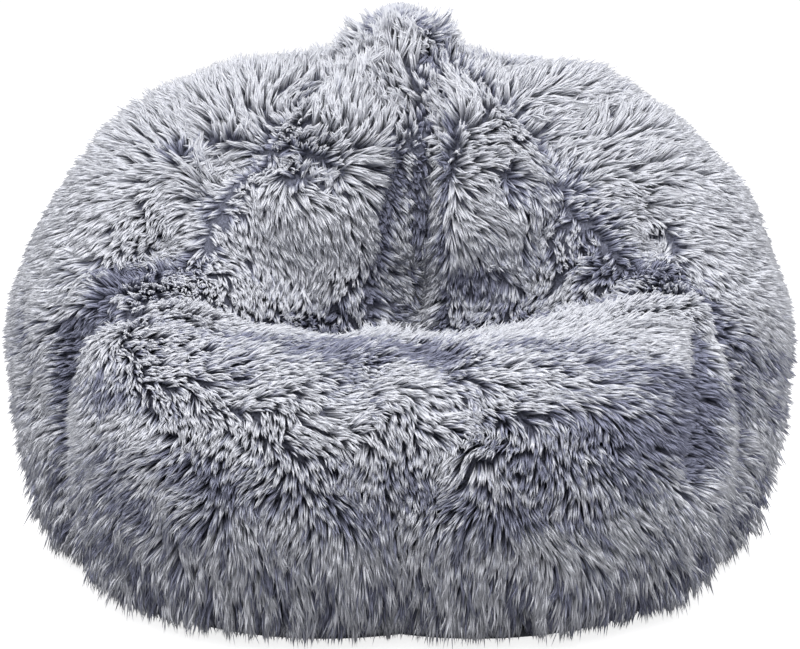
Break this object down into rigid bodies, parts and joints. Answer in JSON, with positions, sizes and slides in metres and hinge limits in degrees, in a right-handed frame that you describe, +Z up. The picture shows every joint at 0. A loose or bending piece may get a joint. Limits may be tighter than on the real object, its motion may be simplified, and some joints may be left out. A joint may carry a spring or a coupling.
{
  "type": "bean bag chair",
  "caption": "Squat shaggy bean bag chair with a domed back, a dished seat and a rolled front, sewn from fur gores over a zipped liner of beads.",
  "frame": {"origin": "middle of the bag's footprint, on the floor", "axes": "+X to the right of someone looking at the seat, the seat faces -Y, +Z up"},
  "size_m": [0.929, 0.8328, 0.648],
  "materials": {
    "shaggy_fur": "matte",
    "base_cloth": "matte",
    "zip_tape": "matte",
    "zip_teeth": "satin",
    "zip_metal": "satin",
    "liner_cloth": "matte",
    "liner_zip_tape": "matte",
    "liner_zip_coil": "satin",
    "beads": "matte"
  },
  "bodies": {
    "bag": {"front_left_gore": "shaggy_fur", "front_right_gore": "shaggy_fur", "side_left_gore": "shaggy_fur", "side_right_gore": "shaggy_fur", "back_left_gore": "shaggy_fur", "back_right_gore": "shaggy_fur", "crown_cap": "shaggy_fur", "base_front_panel": "base_cloth", "base_back_panel": "base_cloth", "cover_zip_front_tape": "zip_tape", "cover_zip_front_teeth": "zip_teeth", "cover_zip_back_tape": "zip_tape", "cover_zip_back_teeth": "zip_teeth", "cover_zip_stops": "zip_metal", "liner_front_left_gore": "liner_cloth", "liner_front_right_gore": "liner_cloth", "liner_side_left_gore": "liner_cloth", "liner_side_right_gore": "liner_cloth", "liner_back_left_gore": "liner_cloth", "liner_back_right_gore": "liner_cloth", "liner_crown_patch": "liner_cloth", "liner_base_front_panel": "liner_cloth", "liner_base_back_panel": "liner_cloth", "liner_zip_front_tape": "liner_zip_tape", "liner_zip_front_coil": "liner_zip_coil", "liner_zip_back_tape": "liner_zip_tape", "liner_zip_back_coil": "liner_zip_coil", "liner_zip_stops": "zip_metal", "bead_fill": "beads"},
    "cover_slider": {"cover_zip_slider": "zip_metal"},
    "cover_pull": {"cover_zip_pull": "zip_metal"},
    "liner_slider": {"liner_zip_slider": "zip_metal"}
  },
  "joints": [
    {"name": "cover_zip_slide", "type": "slide", "parent": "bag", "child": "cover_slider", "axis": [-1, 0, 0], "range_m": [0, 0.455], "deforming": ["cover_zip_front_teeth", "cover_zip_back_teeth"]},
    {"name": "cover_pull_swing", "type": "hinge", "parent": "cover_slider", "child": "cover_pull", "pos_m": [0.234, 0, 0.0037], "axis": [0, 1, 0], "range_deg": [0, 175]},
    {"name": "liner_zip_slide", "type": "slide", "parent": "bag", "child": "liner_slider", "axis": [-1, 0, 0], "range_m": [0, 0.36], "deforming": ["liner_zip_front_coil", "liner_zip_back_coil"]}
  ]
}
